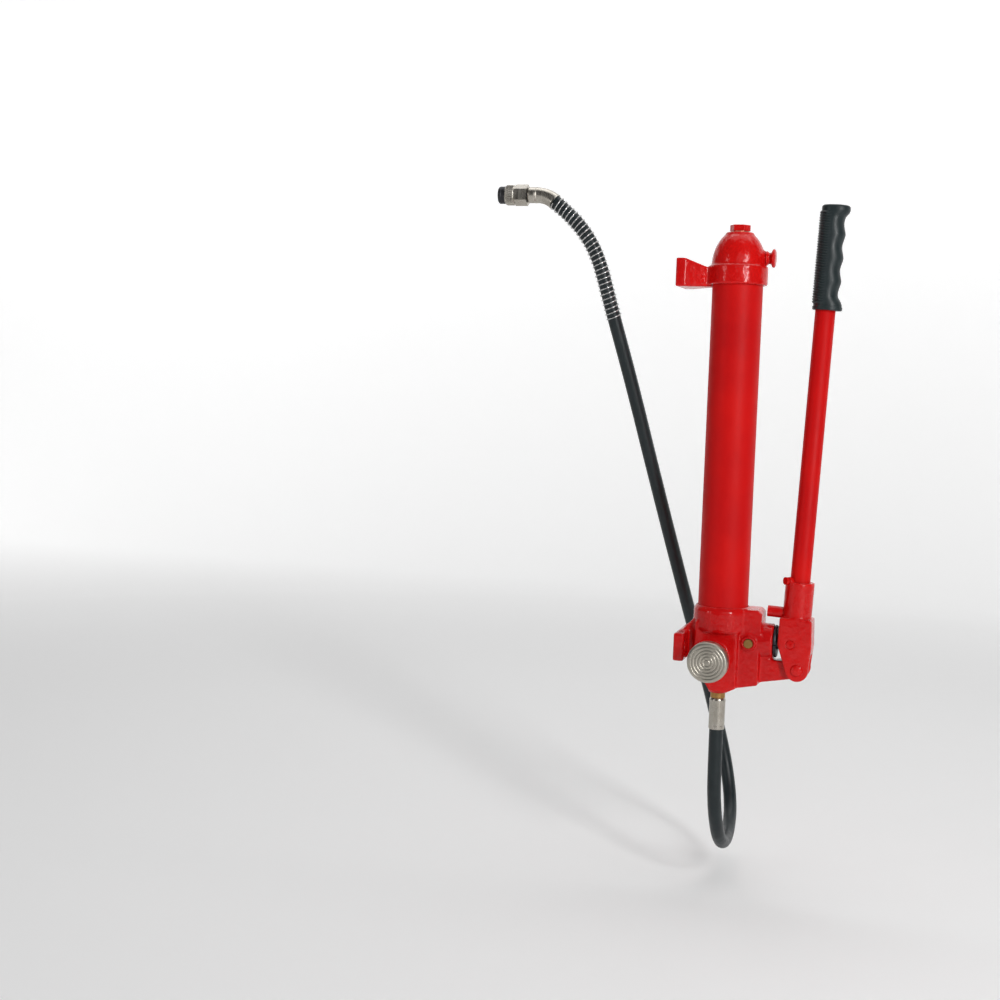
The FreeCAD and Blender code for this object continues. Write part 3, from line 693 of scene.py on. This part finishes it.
def make_vent():
    """The breather screw: a plain shank, a waisted neck and a mushroom head."""
    low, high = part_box("vent_screw")
    centre = (low + high) / 2
    start = 0.048
    tip = high.x - start
    outline = [(0, 0.016), (0.005, 0.016), (0.005, 0.0319), (0.0066, 0.0319), (0.0066, 0.0307),
               (0.0084, 0.0307), (0.0080, 0.0322), (0.0066, 0.0338), (0.0062, tip - 0.0068),
               (0.0072, tip - 0.0052), (0.0098, tip - 0.0042), (0.0105, tip - 0.0032), (0.0105, tip - 0.0018),
               (0.0085, tip - 0.0006), (0.004, tip), (0, tip)]
    screw = lathe("breather_screw", softened(outline, 0.0012), (start, centre.y, centre.z), (1, 0, 0),
                  "red_casting")
    declare(screw, "vent_screw", "red_casting", "vent_screw")


# Along the grip, as shares of it: the first finger hollow and the step to the next.
FIRST_HOLLOW, HOLLOW_STEP = 0.165, 0.223
GRIP_RADIUS, GRIP_SWELL, RIB_FOOT, RIB_RISE, RIBS = 0.0140, 0.0034, 0.0008, 0.0012, 40
# Up the lever: the grip's foot and top, how far its bore stops below the top, and the bore's radius.
GRIP_FOOT, GRIP_TOP, GRIP_END, GRIP_BORE = 0.405, 0.521, 0.009, 0.01122
GRIP_RINGS, GRIP_SEGMENTS = 520, 96
# The rings of the top, inward: their share of the rim's radius and their depth below it.
GRIP_TOP_RINGS = [(0.75, 0.0005), (0.4, 0.0001), (0.15, 0.0)]


def grip_radius(angle, share):
    """The grip's outline: four finger hollows on the outer side, ribs on the inner side."""
    outer = max(0.0, math.cos(angle)) ** 1.2
    phase = math.tau * (share - FIRST_HOLLOW) / HOLLOW_STEP
    hollow = 0.0030 + 0.0024 * (0.5 + 0.5 * math.cos(phase)) ** 0.8
    from_base, from_top = (share - 0.04) / 0.1, (0.955 - share) / 0.07
    fade = min(1.0, max(0.0, from_base), max(0.0, from_top))
    dip = hollow * outer * fade * fade * (3 - 2 * fade)
    swell = GRIP_SWELL * outer
    collar = 0.0008 if 0.004 < share < 0.035 else 0.0
    inner = min(1.0, max(0.0, (-math.cos(angle) - 0.1) * 2.2))
    ribbed = inner * (0.06 < share < 0.94)
    ribs = ribbed * (RIB_FOOT + RIB_RISE * (0.5 + 0.5 * math.cos(math.tau * share * RIBS)))
    rounding = 0.0030 * (1 - math.sqrt(max(0.0, 1 - max(0.0, (share - 0.975) / 0.025) ** 2)))
    return GRIP_RADIUS + swell - dip + collar + ribs - rounding


def make_grip():
    """The grip as rings up the lever: a bore, the outline of grip_radius and a shallow dip in the top."""
    angles = [math.tau * i / GRIP_SEGMENTS for i in range(GRIP_SEGMENTS)]
    bore = [GRIP_BORE] * GRIP_SEGMENTS
    rows = [(bore, GRIP_TOP - GRIP_END), (bore, GRIP_FOOT)]
    for step in range(GRIP_RINGS + 1):
        share = step / GRIP_RINGS
        radii = [grip_radius(angle, share) for angle in angles]
        rows.append((radii, GRIP_FOOT + (GRIP_TOP - GRIP_FOOT) * share))
    for part, depth in GRIP_TOP_RINGS:
        rows.append(([radius * part for radius in radii], GRIP_TOP - depth))

    turn = Matrix((LEVER_OUT, Vector((0, 1, 0)), LEVER_UP)).transposed()
    builder = bmesh.new()
    rings = []
    for radii, height in rows:
        spots = [Vector((radius * math.cos(angle), radius * math.sin(angle), height))
                 for radius, angle in zip(radii, angles)]
        rings.append([builder.verts.new(HANDLE_FOOT + turn @ spot) for spot in spots])
    rings.append([builder.verts.new(HANDLE_FOOT + turn @ Vector((0, 0, GRIP_TOP)))])
    for lower, upper in zip(rings, rings[1:]):
        bridge(builder, lower, upper, GRIP_SEGMENTS)
    builder.faces.new(reversed(rings[0]))
    grip = new_object("finger_grip", builder, "grip_rubber")
    declare(grip, "lever", "grip_rubber", "handle_grip")


def make_fulcrum_pin():
    """The pin that the lever turns on, with a domed head in front and a clip's groove behind."""
    low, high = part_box("fulcrum_pin")
    centre = (low + high) / 2
    reach, radius = high.y - low.y, 0.005
    outline = [(0, 0), (0.003, 0.0001), (radius + 0.0008, 0.0011), (radius + 0.0018, 0.0026),
               (radius + 0.0019, 0.003), (radius, 0.003), (radius, reach - 0.0032),
               (radius - 0.0008, reach - 0.0031), (radius - 0.0008, reach - 0.0021),
               (radius, reach - 0.002), (radius, reach - 0.0006), (radius - 0.0006, reach), (0, reach)]
    pin = lathe("fulcrum_rivet", softened(outline, 0.0005, 3), (centre.x, low.y, centre.z), (0, 1, 0),
                "painted_pin", 64)
    declare(pin, "lever", "painted_pin", "fulcrum_pin")


def make_gland():
    """The black gland nut, with four tool slots round its rim."""
    low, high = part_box("gland_nut")
    centre = (low + high) / 2

    def slots(angle, height, radius):
        near = abs(((angle + math.pi / 4) % (math.pi / 2)) - math.pi / 4)
        return -0.0022 if near < 0.14 and radius > 0.0175 else 0

    outline = [(0.00705, 0), (0.015, 0), (0.015, 0.0054), (0.0177, 0.0054), (0.0185, 0.006),
               (0.0185, 0.0078), (0.0178, 0.0087), (0.0094, 0.0087), (0.0088, 0.0119), (0.00705, 0.0119)]
    nut = lathe("slotted_gland", outline, (low.x, centre.y, centre.z), (1, 0, 0), "blackened_steel", 256,
                True, slots)
    declare(nut, "pump", "blackened_steel", "gland_nut")


# Each valve spring: the joint that presses it, its direction from its fixed end, and the joint's travel.
VALVE_SPRINGS = {
    "inlet_spring": ("inlet_ball_lift", Vector((0, 0, 1)), 0.0015),
    "outlet_spring": ("outlet_ball_lift", Vector((0, 0, 1)), 0.0015),
    "relief_spring": ("relief_ball_lift", Vector((0, -1, 0)), 0.0010),
}
SPRING_WIRE, SPRING_TURNS, TURN_STEPS = 0.0004, 5, 24


def make_valve_springs():
    """Coils that fill each valve spring's place, wound from its fixed end."""
    for node, (joint, axis, travel) in VALVE_SPRINGS.items():
        low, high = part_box(node)
        centre = (low + high) / 2
        length = abs((high - low).dot(axis))
        fixed_end = centre - axis * length / 2
        side = Vector((1, 0, 0))
        up = axis.cross(side)
        coil = (high.x - low.x) / 2 - SPRING_WIRE
        steps = SPRING_TURNS * TURN_STEPS
        path = []
        for step in range(steps + 1):
            angle = math.tau * step / TURN_STEPS
            rise = SPRING_WIRE + (length - 2 * SPRING_WIRE) * step / steps
            around = side * math.cos(angle) + up * math.sin(angle)
            path.append(fixed_end + axis * rise + around * coil)
        spring = tube_along(node + "_coil", path, [SPRING_WIRE] * len(path), "spring_steel", 8)
        declare(spring, "pump", "spring_steel", node)
        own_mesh(spring)


# The machined nodes that are seen as the CAD drew them, with the width of their chamfers.
CHAMFERS = {
    "filler_plug": 0.0018, "plunger_pin": 0.0005, "release_gland": 0.0008, "stop_peg": 0.0010,
    "handle_lock_screw": 0.0009, "plunger": 0.0006, "gallery_plug": 0.0004, "relief_screw": 0.0005,
    "outlet_adapter": 0.0005, "filler_washer": 0.0003, "vent_seal": 0.0003, "fulcrum_clip": 0.0002,
    "plunger_clip": 0.0002, "release_spindle": 0.0003, "fulcrum_bush": 0.0002,
}


def finish_cad_nodes():
    """The CAD nodes that still show get their slot's material, and the machined ones their chamfers."""
    slots = {entry["node"]: entry["material_slot"] for entry in frame["record"]["subparts"]}
    for node, piece in frame["nodes"].items():
        if piece.hide_render or node == "coupler_nut":
            continue
        if node in CHAMFERS:
            sharpened(node, CHAMFERS[node], slots[node])
        else:
            piece.data.materials.clear()
            piece.data.materials.append(materials[slots[node]])


make_camera()
make_backdrop()
make_lights()
make_hose()
make_tubes()
for casting in CASTINGS:
    cast_copy(*casting)
make_knob()
make_vent()
make_grip()
make_fulcrum_pin()
make_gland()
make_valve_springs()
finish_cad_nodes()
